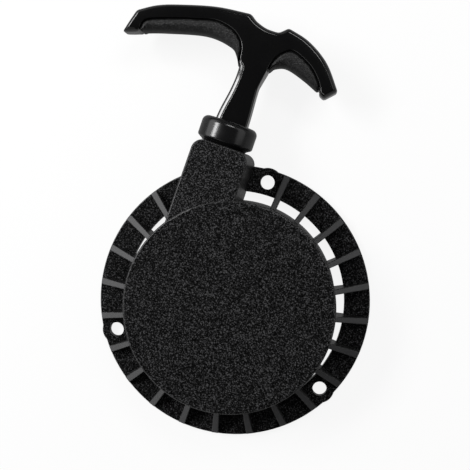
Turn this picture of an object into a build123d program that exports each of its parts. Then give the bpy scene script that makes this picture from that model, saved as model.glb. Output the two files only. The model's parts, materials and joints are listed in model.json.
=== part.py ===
"""Recoil starter for a small two-stroke engine, built as the pieces that a mechanic would lay out on a bench.

Frame: millimetres, +Z up. The origin is the centre of the bolt circle on the mounting face, +Z is the
reel's axis towards the closed front of the drum, and the rope leaves along +Y.
"""
from build123d import *
from math import cos, radians, sin, sqrt
import os

os.makedirs("parts", exist_ok=True)

# ---- Driving dimensions -------------------------------------------------------------------------------
# Housing: drum, ring, ribs and mounting holes
drum_radius = 51.3
drum_height = 32.0
drum_wall = 2.5
face_wall = 2.5
face_edge_radius = 1.0
ring_radius = 68.9
ring_floor = 3.5
ring_edge_radius = 0.6
slot_width = 4.6
rib_count = 24
rib_first_angle = 10.6
rib_width_outer = 3.5
rib_width_inner = 2.6
rib_height_outer = 5.2
rib_height_inner = 16.5
rib_end_inset = 0.6
rib_edge_radius = 0.45
bolt_circle_diameter = 124.8
bolt_count = 3
bolt_first_angle = 93.1
bolt_hole_radius = 3.6
bolt_ear_radius = 7.4

# Neck that carries the rope guide
neck_width_root = 28.8
neck_width_end = 27.6
neck_root = 20.0
neck_length = 72.4
neck_side_step = 0.9
neck_flare = 1.8
neck_wall = 2.5
neck_top_step = 0.8
neck_corner_radius = 5.5
neck_edge_radius = 1.0

# Rope
rope_diameter = 3.5
rope_height = 16.5
rope_gap = 0.1
rope_fit_tolerance = 0.001
rope_clearance = 0.45
lead_radius = 8.0
lead_sweep = 90.0
lead_run = 2.5
crossing = 60.0
reel_knot_radius = 3.4
reel_knot_room = 1.0
reel_knot_bite = 0.2

# Post, reel and mechanism, stacked from the front wall back to the mounting face
post_radius = 6.0
nose_radius = 4.2
running_fit = 0.06
body_gap = 0.3
reel_flange_inset = 0.3
reel_flange_thickness = 1.5
reel_flange_cover = 4.75
reel_boss_radius = 9.0
reel_boss_overhang = 0.2
reel_hub_radius = 8.6
groove_side_clearance = 0.15
spring_thickness = 0.5
spring_width = 7.0
spring_turns = 10
spring_hub_gap = 1.2
spring_hook_room = 4.2
spring_hook_sweep = 200.0
spring_side_gap = 0.4
anchor_radius = 1.0
anchor_clearance = 0.1
hub_slot_depth = 1.4
hub_slot_clearance = 0.2
hub_hole_clearance = 1.5
case_room = 13.0
case_wall = 0.7
case_ear_radius = 4.2
case_ear_reach = 6.4
case_screw_count = 3
case_screw_first_angle = 60.0
case_screw_radius = 1.3
case_screw_clearance = 0.2
case_screw_head_radius = 2.6
case_screw_head_height = 1.6
case_screw_edge_radius = 0.5
case_screw_length = 7.0
case_screw_end_gap = 0.5
well_wall = 2.0
web_count = 8
web_first_angle = 15.0
web_thickness = 1.6
case_boss_radius = 3.6
cover_thickness = 0.4
pawl_thickness = 3.2
pawl_pivot_radius = 15.5
pawl_pin_radius = 2.4
pawl_pin_depth = 8.0
pawl_pin_wall = 2.0
pawl_length = 19.0
pawl_swing = 35.0
pawl_drive_reach = 10.0
drive_pin_radius = 1.5
drive_pin_clearance = 0.15
drive_pin_root = 0.5
pawl_boss_radius = 4.4
pawl_tip_radius = 2.2
pawl_edge_radius = 0.4
pawl_places = {"pawl_a": 60.0, "pawl_b": 240.0}
cam_turn = 30.0
cam_radius = 26.5
cam_thickness = 1.2
cam_edge_radius = 0.3
pawl_spring_wire = 0.7
pawl_spring_leg = 8.0
spring_recess = 1.1
spring_recess_margin = 0.3
spring_recess_spare = 1.0
spring_bend_radius = 3.2
spring_peg_reach = 5.2
spring_peg_inset = 0.7
spring_peg_radius = 0.8
spring_peg_height = 1.1
cam_window_radius = 4.5
cam_window_circle = 16.0
cam_window_angle = 45.0
friction_spring_thickness = 0.4
friction_spring_rise = 0.8
friction_spring_bore_gap = 0.3
friction_spring_rim_inset = 1.0
washer_thickness = 0.9
washer_radius = 9.0
screw_radius = 2.0
screw_head_radius = 4.2
screw_head_height = 1.7
screw_edge_radius = 0.6
screw_length = 9.0
screw_drive_radius = 2.2
screw_drive_depth = 1.1
insert_wall = 1.2
insert_length = 10.0

# Rope guide
guide_radius = 14.0
guide_height = 12.1
guide_edge_radius = 3.0
guide_foot_radius = 11.2
guide_foot_height = 2.8
guide_seat_radius = 8.8
guide_lip_radius = 10.2
guide_lip_height = 2.6
guide_recess_radius = 11.0
guide_recess_depth = 5.6
guide_rim_drop = 0.4

# Grip
stem_half_width = 8.0
stem_half_depth = 6.2
stem_seat_depth = 5.2
arm_half_depth = 8.6
stem_slim_end = 16.0
arm_deep_start = 31.0
groove_width = 0.35
tongue_half_depth = 3.0
tongue_cover = 2.6
tongue_root = 1.5
knot_pocket_radius = 5.4
knot_pocket_floor = 36.0
knot_pocket_depth = 20.0
knot_radius = 4.3
knot_height = 8.0
knot_edge_radius = 3.0
knot_washer_radius = 5.2
knot_washer_thickness = 1.0

# How far a blank stands past the cut that trims it
blank_spare = 1.0

# Points of the grip's outline: across the stem, then along the rope from the top of the guide
long_arm_underside = [(-5.2, 26.4), (-11.8, 34.0), (-25.0, 35.1), (-45.1, 30.4), (-62.6, 24.7)]
long_arm_tip = (-64.8, 25.8)
long_arm_top = [(-60.6, 35.6), (-42.2, 45.7), (-24.4, 50.6), (-7.2, 52.6)]
crown_notch = [(-3.6, 50.0), (2.0, 48.4), (8.4, 48.3)]
short_arm_top = [(12.0, 51.6), (23.3, 48.5), (34.6, 41.4), (44.0, 30.4)]
short_arm_tip = (39.2, 24.7)
short_arm_underside = [(36.1, 25.8), (26.3, 30.2), (17.0, 32.5), (11.4, 30.6), (7.8, 25.6)]
stem_left_waist = (-5.9, 14.0)
stem_right_waist = (7.2, 14.0)
long_groove = [
    (-57.0, 27.8),
    (-56.4, 31.6),
    (-53.6, 34.2),
    (-41.0, 39.1),
    (-31.5, 41.9),
    (-21.9, 44.1),
    (-13.5, 42.8),
    (-8.4, 39.4),
    (-5.9, 35.0),
    (-5.3, 29.8),
]
short_groove = [
    (9.0, 29.6),
    (9.4, 32.2),
    (10.9, 36.4),
    (14.0, 40.3),
    (18.6, 42.0),
    (27.9, 38.0),
    (33.8, 32.6),
    (36.0, 29.2),
]
long_zone_root = (-7.2, 26.4)
long_zone_floor = [(-14.0, 20.0), (-57.6, 20.0)]
short_zone_root = (10.6, 26.4)
short_zone_floor = [(34.6, 20.0), (13.0, 20.0)]
soft_corners = [
    (long_arm_tip, 1.2),
    (long_arm_top[0], 2.5),
    (long_arm_top[-1], 1.6),
    (short_arm_top[0], 1.6),
    (short_arm_top[-1], 2.4),
    (short_arm_tip, 1.2),
    (crown_notch[0], 2.0),
    (crown_notch[-1], 2.0),
]

# ---- Derived places -----------------------------------------------------------------------------------
slot_outer_radius = drum_radius + slot_width
drum_inner_radius = drum_radius - drum_wall
ceiling = drum_height - face_wall
case_radius = drum_inner_radius - case_room
case_inner_radius = case_radius - case_wall
case_screw_circle = case_radius + case_ear_reach
reel_flange_radius = case_radius - reel_flange_inset
neck_top = drum_height - neck_top_step
rope_radius = rope_diameter / 2
rope_offset = reel_flange_radius - reel_flange_cover - rope_radius
neck_offset = rope_offset - neck_side_step
rope_pitch = rope_diameter + rope_gap
reel_core_limit = pawl_pivot_radius + pawl_pin_radius + pawl_pin_wall
layer_room = rope_offset - rope_radius - groove_side_clearance - reel_core_limit
rope_layers = 1 + int((layer_room + rope_fit_tolerance) / rope_pitch)
layer_radii = [rope_offset - rope_pitch * layer for layer in range(rope_layers)][::-1]
groove_core_radius = layer_radii[0] - rope_radius - groove_side_clearance
groove_front = rope_height + rope_radius + groove_side_clearance
groove_rear = rope_height - rope_pitch - rope_radius - groove_side_clearance
reel_front = groove_front + reel_flange_thickness
reel_rear = groove_rear - reel_flange_thickness
pawl_front = reel_rear - body_gap
pawl_rear = pawl_front - pawl_thickness
boss_rear = pawl_rear - reel_boss_overhang
cam_front = boss_rear - body_gap
cam_rear = cam_front - cam_thickness
washer_front = cam_rear - 2 * running_fit - friction_spring_thickness - friction_spring_rise
washer_rear = washer_front - washer_thickness
screw_rear = washer_rear - screw_head_height
case_rear = reel_front + body_gap + case_wall
cover_rear = reel_front + body_gap
well_inner_radius = case_radius + body_gap
hub_front = ceiling - body_gap
spring_rear = cover_rear + cover_thickness + spring_side_gap
spring_front = spring_rear + spring_width
slot_radius = drive_pin_radius + drive_pin_clearance
spring_recess_width = pawl_spring_wire + 2 * spring_recess_margin
spring_peg_point = (
    pawl_pivot_radius - spring_peg_reach + spring_peg_inset,
    spring_bend_radius - pawl_spring_wire / 2 - spring_peg_radius,
)
guide_top = neck_length + guide_height
guide_tail = neck_length - neck_wall - guide_lip_height
guide_edge_start = (guide_radius, guide_top - guide_edge_radius)
guide_edge_end = (guide_radius - guide_edge_radius, guide_top)
knot_floor = guide_top + knot_pocket_floor
rope_bore_radius = rope_radius + rope_clearance
grip_plane = Plane(origin=(-rope_offset, guide_top, rope_height))
rope_axis_plane = Plane(origin=(-rope_offset, 0, rope_height), x_dir=(1, 0, 0), z_dir=(0, 1, 0))


def polar(radius, angle, height=0.0):
    """Point at a radius and an angle in degrees about the reel's axis."""
    return Vector(radius * cos(radians(angle)), radius * sin(radians(angle)), height)


def rope_axis_at(length):
    """Plane square to the straight rope, this far along +Y from the reel's axis."""
    return rope_axis_plane.offset(length)


def save(builder, name):
    """Label a finished piece and write it to its own STEP file."""
    builder.part.label = name
    export_step(builder.part, "parts/" + name + ".step")


# ---- Housing ------------------------------------------------------------------------------------------
rib_outer_radius = ring_radius - rib_end_inset
rib_root_radius = drum_radius - drum_wall / 2
rib_slope_run = rib_outer_radius - drum_radius
rib_slope_fall = rib_height_inner - rib_height_outer

with BuildPart() as rib:
    with BuildSketch():
        with BuildLine():
            Polyline(
                (rib_root_radius, -rib_width_inner / 2),
                (rib_outer_radius, -rib_width_outer / 2),
                (rib_outer_radius, rib_width_outer / 2),
                (rib_root_radius, rib_width_inner / 2),
                close=True,
            )
        make_face()
    extrude(amount=rib_height_inner + blank_spare)
    rib_slope = Plane(
        origin=(drum_radius, 0, rib_height_inner), x_dir=(0, 1, 0), z_dir=(rib_slope_fall, 0, rib_slope_run)
    )
    split(bisect_by=rib_slope, keep=Keep.BOTTOM)
    fillet(rib.faces().sort_by(Axis.Z)[-1].edges().filter_by(Axis.Y, reverse=True), rib_edge_radius)


def neck_outline(inset, end):
    """Plan of the neck with its sides drawn in by the inset, as far as y = end."""
    Polygon(
        (-neck_offset - neck_width_root / 2 + inset, neck_root),
        (-neck_offset + neck_width_root / 2 - inset, neck_root),
        (-neck_offset + neck_width_end / 2 - inset, end),
        (-neck_offset - neck_width_end / 2 + inset, end),
        align=None,
    )


# Neck with sides that flare towards the mounting face
with BuildPart() as neck_block:
    with BuildSketch():
        neck_outline(-neck_flare, neck_length)
    with BuildSketch(Plane.XY.offset(neck_top)):
        neck_outline(0, neck_length)
    loft()
    front = neck_block.faces().sort_by(Axis.Y)[-1]
    fillet([edge for edge in front.edges() if abs(edge.tangent_at(0).Z) > 0.5], neck_corner_radius)
    fillet(neck_block.faces().sort_by(Axis.Z)[-1].edges().group_by(Axis.Y)[1:], neck_edge_radius)


bolt_circle_radius = bolt_circle_diameter / 2
bolt_angles = [bolt_first_angle + index * 360 / bolt_count for index in range(bolt_count)]
rib_angles = [rib_first_angle + index * 360 / rib_count for index in range(rib_count)]
web_angles = [web_first_angle + index * 360 / web_count for index in range(web_count)]
case_screw_angles = [
    case_screw_first_angle + index * 360 / case_screw_count for index in range(case_screw_count)
]


def under_neck(angle):
    """True where a rib would run into the neck."""
    middle = polar(bolt_circle_radius, angle)
    return middle.Y > 0 and abs(middle.X + neck_offset) < neck_width_root / 2 + rib_width_outer


# Mounting ring with an ear at each bolt hole, open round the drum
with BuildPart() as ring:
    with BuildSketch():
        Circle(ring_radius)
        with Locations(*[polar(bolt_circle_radius, angle) for angle in bolt_angles]):
            Circle(bolt_ear_radius)
    extrude(amount=ring_floor)
    fillet(ring.faces().sort_by(Axis.Z)[-1].edges(), ring_edge_radius)
    with BuildSketch():
        Circle(slot_outer_radius)
    extrude(amount=ring_floor, mode=Mode.SUBTRACT)

with BuildPart() as housing:
    # Drum with its rounded front edge
    with BuildSketch():
        Circle(drum_radius)
    extrude(amount=drum_height)
    fillet(housing.edges().sort_by(Axis.Z)[-1], face_edge_radius)
    add(ring.part)
    add(neck_block.part)
    # Hollow drum, open to the engine
    with BuildSketch():
        Circle(drum_inner_radius)
    extrude(amount=ceiling, mode=Mode.SUBTRACT)
    # Hollow neck, open to the engine and into the drum
    with BuildSketch():
        neck_outline(neck_wall, neck_length - neck_wall)
    extrude(amount=neck_top - neck_wall, mode=Mode.SUBTRACT)
    # Wall that holds the spring case, with its screw bosses and webs
    with BuildSketch(Plane.XY.offset(case_rear)):
        Circle(well_inner_radius + well_wall)
        with Locations(*[polar(case_screw_circle, angle) for angle in case_screw_angles]):
            Circle(case_boss_radius)
        for angle in web_angles:
            with Locations(Location(polar((well_inner_radius + drum_radius) / 2, angle), (0, 0, angle))):
                Rectangle(drum_radius - well_inner_radius - drum_wall, web_thickness)
        Circle(well_inner_radius, mode=Mode.SUBTRACT)
    extrude(amount=ceiling - case_rear)
    with Locations(*[polar(case_screw_circle, angle, case_rear) for angle in case_screw_angles]):
        Cylinder(
            case_screw_radius,
            case_screw_length,
            align=(Align.CENTER, Align.CENTER, Align.MIN),
            mode=Mode.SUBTRACT,
        )
    # Post that the reel turns on, stepped down to a nose for the cam plate
    with BuildSketch(Plane.XY.offset(cam_front)):
        Circle(post_radius)
    extrude(amount=ceiling - cam_front)
    with BuildSketch(Plane.XY.offset(washer_front)):
        Circle(nose_radius)
    extrude(amount=cam_front - washer_front)
    with BuildSketch(Plane.XY.offset(washer_front)):
        Circle(screw_radius + insert_wall)
    extrude(amount=insert_length, mode=Mode.SUBTRACT)
    # Ribs from the ring up the side of the drum
    for angle in rib_angles:
        if not under_neck(angle):
            with Locations(Rotation(0, 0, angle)):
                add(rib.part)
    # Seat for the rope guide and the mounting holes
    with BuildSketch(rope_axis_at(neck_length)):
        Circle(guide_seat_radius)
    extrude(amount=-neck_wall, mode=Mode.SUBTRACT)
    with Locations(*[polar(bolt_circle_radius, angle) for angle in bolt_angles]):
        Hole(bolt_hole_radius)
save(housing, "housing")

# ---- Recoil spring and its case -----------------------------------------------------------------------
hub_hole_radius = reel_hub_radius + hub_hole_clearance
hub_slot_floor = reel_hub_radius - hub_slot_depth
hub_slot_width = spring_thickness + 2.5 * hub_slot_clearance
spring_inner_radius = reel_hub_radius + spring_hub_gap
spring_outer_radius = case_inner_radius - spring_hook_room
spring_growth = (spring_outer_radius - spring_inner_radius) / (2 * spring_turns)
spring_hook_radius = anchor_radius + spring_thickness / 2 + anchor_clearance


def spring_side(side):
    """One long edge of the strip, this far to the left of its middle line; the outer hook turns right."""
    hook_end = reel_hub_radius + hub_slot_clearance
    inner_hook = Line((hub_slot_floor + hub_slot_clearance, side), (hook_end, side))
    coil = JernArc(inner_hook @ 1, (1, 0), spring_inner_radius - hook_end - side, 90)
    for half_turn in range(2 * spring_turns):
        coil = JernArc(coil @ 1, coil % 1, spring_inner_radius + half_turn * spring_growth - side, 180)
    return inner_hook, JernArc(coil @ 1, coil % 1, spring_hook_radius + side, -spring_hook_sweep)


with BuildPart() as recoil_spring:
    with BuildSketch(Plane.XY.offset(spring_rear)) as spring_section:
        with BuildLine() as spring_edges:
            left_start, left_hook = spring_side(spring_thickness / 2)
            right_start, right_hook = spring_side(-spring_thickness / 2)
            Line(left_start @ 0, right_start @ 0)
            Line(left_hook @ 1, right_hook @ 1)
        make_face()
    extrude(amount=spring_width)
anchor_point = left_hook.arc_center
save(recoil_spring, "recoil_spring")

with BuildPart() as spring_case:
    # Cup with a hole for the reel's hub
    with BuildSketch(Plane.XY.offset(case_rear - case_wall)):
        Circle(case_radius)
    extrude(amount=ceiling - case_rear + case_wall)
    with BuildSketch(Plane.XY.offset(case_rear - case_wall)):
        Circle(case_inner_radius)
    extrude(amount=ceiling - case_rear, mode=Mode.SUBTRACT)
    with BuildSketch(Plane.XY.offset(ceiling - case_wall)):
        Circle(hub_hole_radius)
    extrude(amount=case_wall, mode=Mode.SUBTRACT)
    # Screw ears on the open rim
    with BuildSketch(Plane.XY.offset(case_rear - case_wall)):
        for angle in case_screw_angles:
            with Locations(Location(polar(case_screw_circle, angle), (0, 0, angle))):
                SlotCenterPoint((-case_ear_radius / 2, 0), (0, 0), 2 * case_ear_radius)
        Circle(case_inner_radius, mode=Mode.SUBTRACT)
        with Locations(*[polar(case_screw_circle, angle) for angle in case_screw_angles]):
            Circle(case_screw_radius + case_screw_clearance, mode=Mode.SUBTRACT)
    extrude(amount=case_wall)
    # Rivet that the spring's outer end hooks round
    with BuildSketch(Plane.XY.offset(spring_rear)):
        with Locations(anchor_point):
            Circle(anchor_radius)
    extrude(amount=ceiling - spring_rear)
save(spring_case, "spring_case")

with BuildPart() as case_screws:
    for angle in case_screw_angles:
        with BuildSketch(Plane(origin=polar(case_screw_circle, angle, case_rear - case_wall))):
            Circle(case_screw_head_radius)
        extrude(amount=-case_screw_head_height)
        fillet(case_screws.edges().group_by(Axis.Z)[0], case_screw_edge_radius)
        with BuildSketch(Plane(origin=polar(case_screw_circle, angle, case_rear - case_wall))):
            Circle(case_screw_radius)
        extrude(amount=case_wall + case_screw_length - case_screw_end_gap)
save(case_screws, "spring_case_screws")

with BuildPart() as spring_cover:
    with BuildSketch(Plane.XY.offset(cover_rear)):
        Circle(case_inner_radius)
        Circle(hub_hole_radius, mode=Mode.SUBTRACT)
    extrude(amount=cover_thickness)
save(spring_cover, "spring_cover")

# ---- Rope ---------------------------------------------------------------------------------------------
rope_planes = [rope_height - rope_pitch, rope_height]
turn_span = 360.0 - 2 * crossing
coil_turns = []
for layer, radius in enumerate(layer_radii):
    for side in range(2):
        coil_turns.append((radius, rope_planes[(rope_layers - 1 - layer + side) % 2]))
coil_sweep = turn_span * len(coil_turns) + crossing * (len(coil_turns) - 1)
coil_start_angle = 180.0 + coil_sweep
lead_height = coil_turns[0][1]


def travel(angle):
    """Direction in which the rope runs at this angle of the reel, towards the grip."""
    return Vector(sin(radians(angle)), -cos(radians(angle)), 0)


def crossing_middle(start, leaving, finish, arriving):
    """Point where two tangent arcs from start to finish meet."""
    chord = finish - start
    lean = chord.dot(leaving + arriving)
    spread = leaving.dot(arriving) - 1
    reach = (lean - sqrt(lean**2 - 2 * spread * chord.dot(chord))) / (2 * spread)
    return (start + finish) * 0.5 + (leaving - arriving) * (reach / 2)


lead_centre = polar(layer_radii[0] - lead_radius, coil_start_angle, lead_height)
lead_start = lead_centre + polar(lead_radius, coil_start_angle + lead_sweep)
reel_knot_point = lead_start - travel(coil_start_angle + lead_sweep) * lead_run

with BuildLine() as lead_route:
    lead_line = Line(reel_knot_point, lead_start)
    TangentArc(lead_start, polar(layer_radii[0], coil_start_angle, lead_height), tangent=lead_line % 1)

with BuildLine() as coil_route:
    add(lead_route.line)
    angle = coil_start_angle
    for turn, (radius, height) in enumerate(coil_turns):
        ThreePointArc(
            polar(radius, angle, height),
            polar(radius, angle - turn_span / 2, height),
            polar(radius, angle - turn_span, height),
        )
        angle -= turn_span
        if turn + 1 < len(coil_turns):
            next_radius, next_height = coil_turns[turn + 1]
            start = polar(radius, angle, height)
            finish = polar(next_radius, angle - crossing, next_height)
            middle = crossing_middle(start, travel(angle), finish, travel(angle - crossing))
            first_arc = TangentArc(start, middle, tangent=travel(angle))
            TangentArc(middle, finish, tangent=first_arc % 1)
            angle -= crossing

with BuildPart() as rope_coil:
    with BuildSketch(Plane(origin=reel_knot_point, z_dir=lead_route.line % 0)):
        Circle(rope_radius)
    sweep(path=coil_route.line)
save(rope_coil, "rope_coil")

with BuildPart() as rope_run:
    with BuildSketch(rope_axis_at(0)):
        Circle(rope_radius)
    extrude(amount=knot_floor + knot_washer_thickness)
save(rope_run, "rope_run")

lead_direction = travel(coil_start_angle + lead_sweep)
reel_knot_centre = reel_knot_point - lead_direction * (reel_knot_radius - reel_knot_bite)
lead_plane = Plane(origin=reel_knot_point, z_dir=lead_direction)
with BuildPart() as reel_knot:
    with Locations(reel_knot_centre):
        Sphere(reel_knot_radius)
    with BuildSketch(lead_plane):
        Circle(reel_knot_radius)
    extrude(amount=reel_knot_radius, mode=Mode.SUBTRACT)
save(reel_knot, "reel_knot")

# ---- Reel ---------------------------------------------------------------------------------------------
def at_pawl(angle):
    """Location of a pawl's own frame: its pivot on +X of the reel, turned to its place."""
    return Location((0, 0, 0), (0, 0, angle))


with BuildPart() as reel:
    # Front hub, front flange, core, rear flange and rear boss
    with BuildSketch(Plane.XY.offset(boss_rear)):
        Circle(reel_boss_radius)
    extrude(amount=reel_rear - boss_rear)
    with BuildSketch(Plane.XY.offset(reel_rear)):
        Circle(reel_flange_radius)
    extrude(amount=reel_flange_thickness)
    with BuildSketch(Plane.XY.offset(groove_rear)):
        Circle(groove_core_radius)
    extrude(amount=groove_front - groove_rear)
    with BuildSketch(Plane.XY.offset(groove_front)):
        Circle(reel_flange_radius)
    extrude(amount=reel_flange_thickness)
    with BuildSketch(Plane.XY.offset(reel_front)):
        Circle(reel_hub_radius)
    extrude(amount=hub_front - reel_front)
    # Slot for the spring's inner end
    with BuildSketch(Plane.XY.offset(reel_front)):
        with Locations((reel_hub_radius, 0)):
            Rectangle(2 * hub_slot_depth, hub_slot_width)
    extrude(amount=hub_front - reel_front, mode=Mode.SUBTRACT)
    # Pocket for the rope's knot and the curved passage from it to the groove
    with BuildSketch(Plane.XY.offset(reel_rear)):
        with Locations((reel_knot_centre.X, reel_knot_centre.Y)):
            Circle(reel_knot_radius + reel_knot_room)
    extrude(amount=lead_height + reel_knot_radius + reel_knot_room - reel_rear, mode=Mode.SUBTRACT)
    with BuildSketch(lead_plane):
        Circle(rope_radius + body_gap)
    sweep(path=lead_route.line, mode=Mode.SUBTRACT)
    # Pegs that the pawls' springs push on
    with BuildSketch(Plane.XY.offset(reel_rear - spring_peg_height)):
        with Locations(*[at_pawl(angle) for angle in pawl_places.values()]):
            with Locations(spring_peg_point):
                Circle(spring_peg_radius)
    extrude(amount=spring_peg_height)
    # Bore for the post and holes for the pawls' pins
    with BuildSketch(Plane.XY.offset(boss_rear)):
        Circle(post_radius + running_fit)
    extrude(amount=hub_front - boss_rear, mode=Mode.SUBTRACT)
    with BuildSketch(Plane.XY.offset(reel_rear)):
        with Locations(*[at_pawl(angle) for angle in pawl_places.values()]):
            with Locations((pawl_pivot_radius, 0)):
                Circle(pawl_pin_radius)
    extrude(amount=pawl_pin_depth, mode=Mode.SUBTRACT)
save(reel, "reel")

with BuildPart() as pawl_pins:
    with BuildSketch(Plane.XY.offset(pawl_rear)):
        with Locations(*[at_pawl(angle) for angle in pawl_places.values()]):
            with Locations((pawl_pivot_radius, 0)):
                Circle(pawl_pin_radius)
    extrude(amount=reel_rear + pawl_pin_depth - pawl_rear)
save(pawl_pins, "pawl_pins")

# ---- Pawls, their springs and the cam plate -----------------------------------------------------------
drive_pin_point = (pawl_pivot_radius, -pawl_drive_reach)


def slot_point(share):
    """Place of a pawl's drive pin in the cam plate's frame, at this share of the cam plate's turn."""
    swing = radians(pawl_swing * share)
    pin = Vector(pawl_pivot_radius + pawl_drive_reach * sin(swing), -pawl_drive_reach * cos(swing))
    return pin.rotate(Axis.Z, -cam_turn * share)


for name, angle in pawl_places.items():
    with BuildPart() as pawl:
        with BuildSketch(Plane.XY.offset(pawl_rear)):
            with Locations(at_pawl(angle)):
                with Locations((pawl_pivot_radius, 0)):
                    Circle(pawl_boss_radius)
                with Locations((pawl_pivot_radius, -pawl_length)):
                    Circle(pawl_tip_radius)
            make_hull()
        extrude(amount=pawl_thickness)
        fillet(pawl.faces().filter_by(Plane.XY).edges(), pawl_edge_radius)
        # Recess for the return spring
        with BuildSketch(Plane.XY.offset(pawl_front - spring_recess)):
            with Locations(at_pawl(angle)):
                with Locations((pawl_pivot_radius, 0)):
                    Circle(pawl_boss_radius + spring_recess_margin)
                with Locations((pawl_pivot_radius + spring_bend_radius, -pawl_spring_leg / 2)):
                    Rectangle(spring_recess_width, pawl_spring_leg + spring_recess_spare)
        extrude(amount=spring_recess, mode=Mode.SUBTRACT)
        # Bore for the pivot pin, and the pin that runs in the cam plate's slot
        with BuildSketch(Plane.XY.offset(pawl_rear)):
            with Locations(at_pawl(angle)):
                with Locations((pawl_pivot_radius, 0)):
                    Circle(pawl_pin_radius + running_fit)
        extrude(amount=pawl_thickness, mode=Mode.SUBTRACT)
        with BuildSketch(Plane.XY.offset(cam_rear)):
            with Locations(at_pawl(angle)):
                with Locations(drive_pin_point):
                    Circle(drive_pin_radius)
        extrude(amount=pawl_rear + drive_pin_root - cam_rear)
    save(pawl, name)

    with BuildPart() as pawl_spring:
        with BuildLine() as wire_route:
            pivot = Vector(pawl_pivot_radius, 0, pawl_front - spring_recess / 2)
            legs = [
                pivot + Vector(spring_bend_radius, -pawl_spring_leg),
                pivot + Vector(spring_bend_radius, 0),
                pivot + Vector(0, spring_bend_radius),
                pivot + Vector(-spring_peg_reach, spring_bend_radius),
            ]
            legs = [point.rotate(Axis.Z, angle) for point in legs]
            long_leg = Line(legs[0], legs[1])
            bend = TangentArc(legs[1], legs[2], tangent=long_leg % 1)
            Line(legs[2], legs[3])
        with BuildSketch(Plane(origin=long_leg @ 0, z_dir=long_leg % 0)):
            Circle(pawl_spring_wire / 2)
        sweep(path=wire_route.line)
    save(pawl_spring, name.replace("pawl", "pawl_spring"))

with BuildPart() as cam_plate:
    with BuildSketch(Plane.XY.offset(cam_rear)):
        Circle(cam_radius)
        Circle(nose_radius + running_fit, mode=Mode.SUBTRACT)
        with PolarLocations(cam_window_circle, 2, start_angle=pawl_places["pawl_a"] + cam_window_angle):
            Circle(cam_window_radius, mode=Mode.SUBTRACT)
    extrude(amount=cam_thickness)
    rims = cam_plate.faces().filter_by(Plane.XY).edges().filter_by(lambda edge: edge.radius == cam_radius)
    fillet(rims, cam_edge_radius)
    # Curved slots that swing the pawls out as the reel turns past the plate
    for angle in pawl_places.values():
        with BuildSketch(Plane.XY.offset(cam_rear)):
            with Locations(at_pawl(angle)):
                SlotArc(ThreePointArc(slot_point(0), slot_point(0.5), slot_point(1)), 2 * slot_radius)
        extrude(amount=cam_thickness, mode=Mode.SUBTRACT)
save(cam_plate, "cam_plate")

friction_spring_inner = nose_radius + friction_spring_bore_gap
friction_spring_outer = washer_radius - friction_spring_rim_inset
with BuildPart() as friction_spring:
    with BuildSketch(Plane.XZ):
        with BuildLine():
            Polyline(
                (friction_spring_inner, washer_front + running_fit),
                (friction_spring_outer, washer_front + running_fit + friction_spring_rise),
                (friction_spring_outer, cam_rear - running_fit),
                (friction_spring_inner, cam_rear - running_fit - friction_spring_rise),
                close=True,
            )
        make_face()
    revolve(axis=Axis.Z)
save(friction_spring, "friction_spring")

# ---- Centre screw, its washer and its insert ----------------------------------------------------------
with BuildPart() as post_insert:
    with BuildSketch(Plane.XY.offset(washer_front)):
        Circle(screw_radius + insert_wall)
        Circle(screw_radius, mode=Mode.SUBTRACT)
    extrude(amount=insert_length)
save(post_insert, "post_insert")

with BuildPart() as retaining_washer:
    with BuildSketch(Plane.XY.offset(washer_rear)):
        Circle(washer_radius)
        Circle(screw_radius, mode=Mode.SUBTRACT)
    extrude(amount=washer_thickness)
save(retaining_washer, "retaining_washer")

with BuildPart() as centre_screw:
    with BuildSketch(Plane.XY.offset(screw_rear)):
        Circle(screw_head_radius)
    extrude(amount=screw_head_height)
    fillet(centre_screw.edges().sort_by(Axis.Z)[0], screw_edge_radius)
    with BuildSketch(Plane.XY.offset(screw_rear)):
        RegularPolygon(screw_drive_radius, 6)
    extrude(amount=screw_drive_depth, mode=Mode.SUBTRACT)
    with BuildSketch(Plane.XY.offset(washer_rear)):
        Circle(screw_radius)
    extrude(amount=screw_length)
save(centre_screw, "centre_screw")

# ---- Rope guide ---------------------------------------------------------------------------------------
guide_section_plane = Plane(origin=(-rope_offset, 0, rope_height))
with BuildPart() as rope_guide:
    with BuildSketch(guide_section_plane):
        with BuildLine():
            Polyline(
                (rope_bore_radius, guide_tail),
                (guide_seat_radius, guide_tail),
                (guide_lip_radius, neck_length - neck_wall),
                (guide_seat_radius, neck_length - neck_wall),
                (guide_seat_radius, neck_length),
                (guide_foot_radius, neck_length),
                (guide_radius, neck_length + guide_foot_height),
                guide_edge_start,
            )
            RadiusArc(guide_edge_start, guide_edge_end, -guide_edge_radius)
            Polyline(
                guide_edge_end,
                (guide_recess_radius, guide_top - guide_rim_drop),
                (guide_recess_radius, guide_top - guide_recess_depth),
                (rope_bore_radius, guide_top - guide_recess_depth),
                (rope_bore_radius, guide_tail),
            )
        make_face()
    revolve(axis=Axis((-rope_offset, 0, rope_height), (0, 1, 0)))
save(rope_guide, "rope_guide")

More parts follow.
